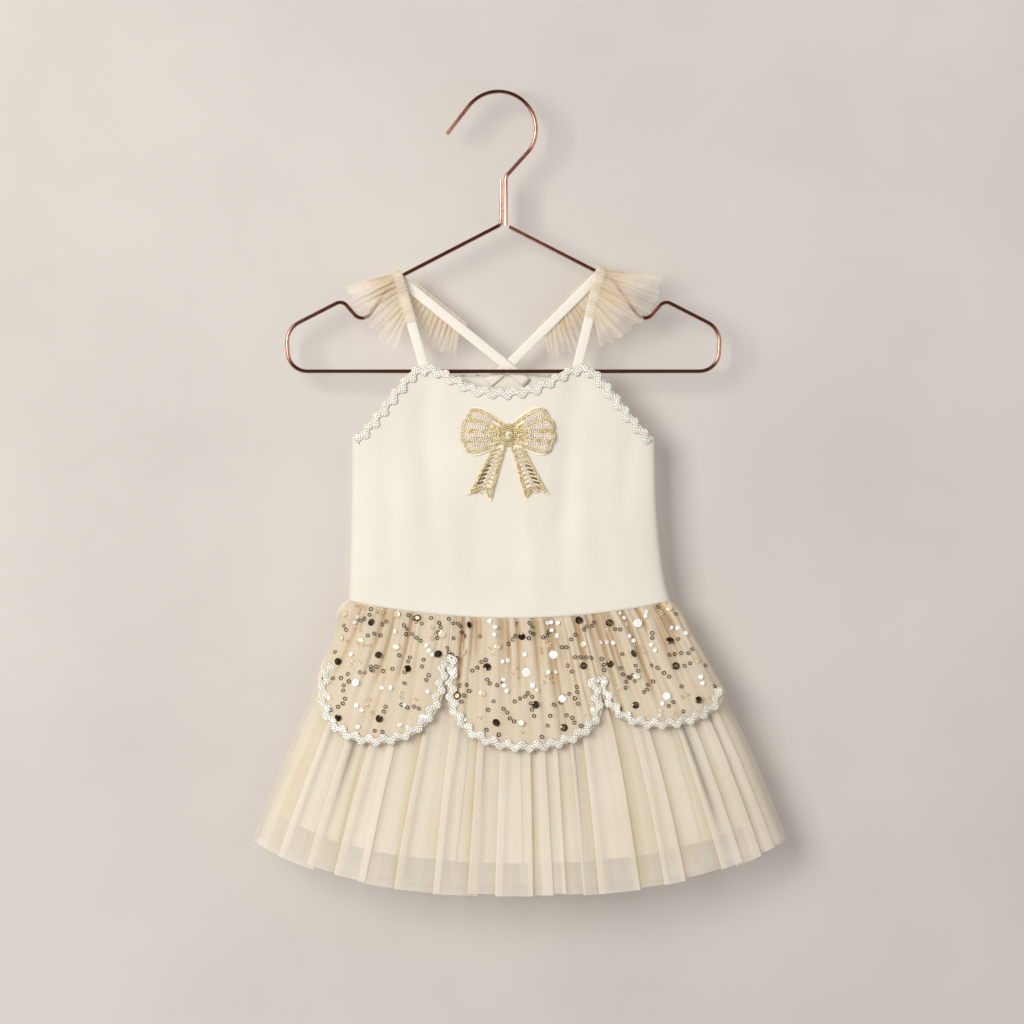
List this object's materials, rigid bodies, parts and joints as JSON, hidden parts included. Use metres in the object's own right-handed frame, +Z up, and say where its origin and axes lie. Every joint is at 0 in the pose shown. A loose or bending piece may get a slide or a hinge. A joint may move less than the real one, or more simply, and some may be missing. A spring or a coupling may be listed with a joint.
{
  "type": "tutu dress on a wire hanger",
  "caption": "Toddler's sleeveless tutu dress with crossed straps, shoulder frills, beaded bow, scalloped sequin overskirt and pleated tulle skirt, hung on a copper wire hanger.",
  "frame": {"origin": "the inside of the top of the hanger's hook, where it rests on what holds it", "axes": "+Z up, +X to the right seen from the front, the front of the dress faces -Y"},
  "size_m": [0.37, 0.0615, 0.5539],
  "materials": {
    "copper_wire": "bright copper plating on steel wire",
    "cotton_jersey": "smooth matte cotton jersey",
    "strap_elastic": "woven elastic with a faint sheen",
    "champagne_tulle": "sheer fine net with a soft shimmer",
    "sequinned_tulle": "sheer net sewn with sequins",
    "silver_braid": "metallic thread braid",
    "gold_beads": "gold seed beads and pearls"
  },
  "bodies": {
    "root": {"hanger_frame": "copper_wire", "hanger_hook": "copper_wire", "bodice_front": "cotton_jersey", "bodice_back": "cotton_jersey", "strap_left": "strap_elastic", "strap_right": "strap_elastic", "ruffle_left": "champagne_tulle", "ruffle_right": "champagne_tulle", "skirt_long_front": "champagne_tulle", "skirt_long_back": "champagne_tulle", "skirt_short_front": "champagne_tulle", "skirt_short_back": "champagne_tulle", "peplum_front": "sequinned_tulle", "peplum_back": "sequinned_tulle", "trim_neck_front": "silver_braid", "trim_neck_back": "silver_braid", "trim_peplum_front": "silver_braid", "trim_peplum_back": "silver_braid", "bow_applique": "gold_beads"}
  },
  "joints": []
}
